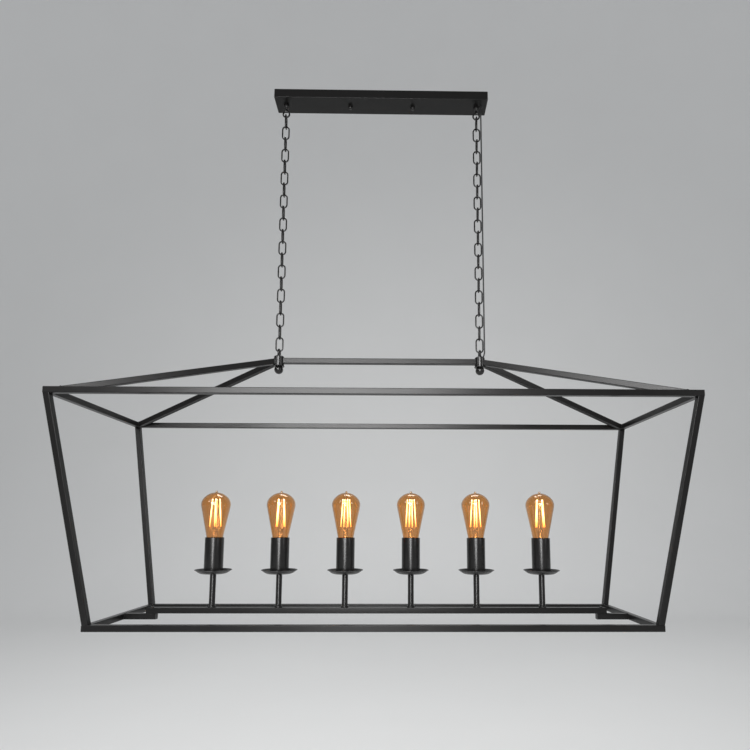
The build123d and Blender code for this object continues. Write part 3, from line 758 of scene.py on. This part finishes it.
def cap_grid(x):
    """Screw cap as radius over height and angle. Between its insulator and
    its collar the radius follows a helix: a cosine of the height over the
    pitch less the angle, faded out at both ends of the thread."""
    height = np.concatenate([
        np.linspace(0, CONTACT_HEIGHT, 4),
        np.linspace(INSULATOR_FOOT[1], CAP_INSULATOR, 4),
        np.linspace(CAP_INSULATOR + 0.0002, CAP_HEIGHT, 60),
    ])
    shell = CAP_RADIUS - THREAD_DEPTH
    profile = [
        (0, 0.9 * CONTACT_RADIUS),
        (CONTACT_HEIGHT, CONTACT_RADIUS),
        INSULATOR_FOOT[::-1],
        (CAP_INSULATOR, INSULATOR_RADIUS),
        (CAP_INSULATOR + THREAD_START, shell),
        (CAP_HEIGHT, shell),
    ]
    base = np.interp(height, *np.transpose(profile))
    angle = np.arange(CAP_SIDES) * 2 * np.pi / CAP_SIDES
    fade_in = np.clip((height - CAP_INSULATOR - THREAD_START) / THREAD_FADE, 0, 1)
    fade_out = np.clip((CAP_HEIGHT - THREAD_END - height) / THREAD_FADE, 0, 1)
    wave = np.cos(2 * np.pi * height[:, None] / THREAD_PITCH - angle)
    radius = base[:, None] + THREAD_DEPTH * (fade_in * fade_out)[:, None] * wave
    axis = np.zeros(CAP_SIDES)
    closed = np.vstack([axis, radius, axis])
    level = np.concatenate([[0], height, [CAP_HEIGHT]])[:, None] + BULB_FOOT - CAP_HEIGHT
    across, deep = x + closed * np.cos(angle), closed * np.sin(angle)
    return np.stack(np.broadcast_arrays(across, deep, level), -1)


nickel = coated("nickel_plate", (0.62, 0.58, 0.50), 0.28, 900, 0.00002, metallic=1.0)
mount_glass = clear_glass("mount_glass", (0.96, 0.93, 0.88))
mount_outline = rounded(
    [
        (0, 0.0002),
        (0.0095, 0.0002),
        (0.0085, 0.006),
        (MOUNT_RADIUS, 0.015),
        (MOUNT_RADIUS, MOUNT_TOP),
        (ROD_RADIUS, MOUNT_TOP + 0.003),
        (ROD_RADIUS, ROD_TOP - 0.002),
        (0.0018, ROD_TOP - 0.001),
        (0.0018, ROD_TOP),
        (0, ROD_TOP),
    ],
    [0.0004, 0.003, 0.006, 0.002, 0.0008, 0.0004, 0.0004, 0.0005],
)
for number, lamp_x in enumerate(LAMP_XS, start=1):
    name, bulb = f"screw_cap_{number}", f"bulb_{number}"
    cap = surface(name, [cap_grid(lamp_x)], wrap_columns=True)
    put(name, cap, nickel, bulb, [f"bulb_cap_{number}"])
    name = f"glass_mount_{number}"
    mount = surface(name, [turned(mount_outline, lamp_x, BULB_FOOT, 32)], wrap_columns=True)
    put(name, mount, mount_glass, bulb)


# ---- Filaments -----------------------------------------------------------------------
# Four lit strips stand round the mount's rod, closer together at the top, on
# bare nickel wires from the mount and to the rod. Each bulb stands screwed
# round by its own angle.
STRIPS = 4
STRIP_FOOT = (0.0112, 0.040)
STRIP_HEAD = (0.0074, 0.098)
STRIP_RADIUS = 0.0011
STRIP_GLOW = 7.0
STRIP_COLOURS = {
    0.0: (0.5, 0.20, 0.06, 1),
    0.07: (0.5, 0.20, 0.06, 1),
    0.5: (1.0, 0.82, 0.56, 1),
    0.93: (1.0, 0.70, 0.36, 1),
    1.0: (1.0, 1.0, 1.0, 1),
}
WIRE_RADIUS = 0.00035
BULB_TURNS = np.radians([12, 50, 28, 70, 5, 38])


def strand(path, radius, x, turn, sides=10):
    """Round strand in the upright plane at an angle to the bulb's axis. The
    path gives (distance from the axis, height above the glass's foot); the
    circle is spanned by the path's normal in that plane and the plane's own,
    and the radius falls to nothing at both ends."""
    path = np.array(path, float)
    along = np.gradient(path, axis=0)
    along /= np.linalg.norm(along, axis=1)[:, None]
    path = np.concatenate([path[:1], path, path[-1:]])
    along = np.concatenate([along[:1], along, along[-1:]])
    width = np.concatenate([[0], np.broadcast_to(radius, len(path) - 2), [0]])[:, None]
    angle = np.arange(sides) * 2 * np.pi / sides
    out = path[:, :1] + width * np.cos(angle) * along[:, 1:]
    height = BULB_FOOT + path[:, 1:] - width * np.cos(angle) * along[:, :1]
    beside = width * np.sin(angle)
    return np.stack(
        [
            x + out * np.cos(turn) - beside * np.sin(turn),
            out * np.sin(turn) + beside * np.cos(turn),
            height,
        ],
        -1,
    )


def bowed(start, bend, end, count=9):
    """Curve from start to end drawn towards bend: a quadratic Bezier."""
    start, bend, end = np.array([start, bend, end])
    share = np.linspace(0, 1, count)[:, None]
    return (1 - share) ** 2 * start + 2 * share * (1 - share) * bend + share**2 * end


def strip_material():
    """Lit strip: orange at its foot, pale yellow from halfway up and white at
    its head, as it is seen through the glass; the colour goes by height."""
    material = bpy.data.materials.new("lit_strip")
    material.use_nodes = True
    new, link = material.node_tree.nodes.new, material.node_tree.links.new
    shader = material.node_tree.nodes["Principled BSDF"]
    shader.inputs["Roughness"].default_value = 0.5
    shader.inputs["Base Color"].default_value = (0.9, 0.7, 0.3, 1)
    shader.inputs["Emission Strength"].default_value = STRIP_GLOW
    place = new("ShaderNodeTexCoord")
    parts = new("ShaderNodeSeparateXYZ")
    height = new("ShaderNodeMapRange")
    height.inputs["From Min"].default_value = BULB_FOOT + STRIP_FOOT[1]
    height.inputs["From Max"].default_value = BULB_FOOT + STRIP_HEAD[1]
    glow = new("ShaderNodeValToRGB")
    stops = glow.color_ramp.elements
    for position in list(STRIP_COLOURS)[1:-1]:
        stops.new(position)
    for stop, colour in zip(stops, STRIP_COLOURS.values()):
        stop.color = colour
    link(place.outputs["Object"], parts.inputs["Vector"])
    link(parts.outputs["Z"], height.inputs["Value"])
    link(height.outputs["Result"], glow.inputs["Fac"])
    link(glow.outputs["Color"], shader.inputs["Emission Color"])
    return material


lit_strip = strip_material()
lead_wire = coated("lead_wire", (0.60, 0.57, 0.52), 0.3, 2000, 0.00001, metallic=1.0)
foot_x, foot_z = STRIP_FOOT
head_x, head_z = STRIP_HEAD
strip_line = np.array(STRIP_FOOT) + np.linspace(0, 1, 9)[:, None] * (np.array(STRIP_HEAD) - STRIP_FOOT)
foot_wire = bowed((0.0020, MOUNT_TOP + 0.0005), (0.0100, MOUNT_TOP - 0.003), (foot_x, foot_z + 0.001))
head_wire = bowed((head_x, head_z - 0.001), (head_x, head_z + 0.0035), (0.0012, ROD_TOP - 0.0005))
for number, (lamp_x, bulb_turn) in enumerate(zip(LAMP_XS, BULB_TURNS), start=1):
    turns = bulb_turn + np.arange(STRIPS) * 2 * np.pi / STRIPS
    name, bulb = f"strips_{number}", f"bulb_{number}"
    lit = [strand(strip_line, STRIP_RADIUS, lamp_x, turn) for turn in turns]
    put(name, surface(name, lit, wrap_columns=True), lit_strip, bulb)
    name, paths = f"lead_wires_{number}", (foot_wire, head_wire)
    wires = [strand(path, WIRE_RADIUS, lamp_x, turn, 6) for turn in turns for path in paths]
    put(name, surface(name, wires, wrap_columns=True), lead_wire, bulb)
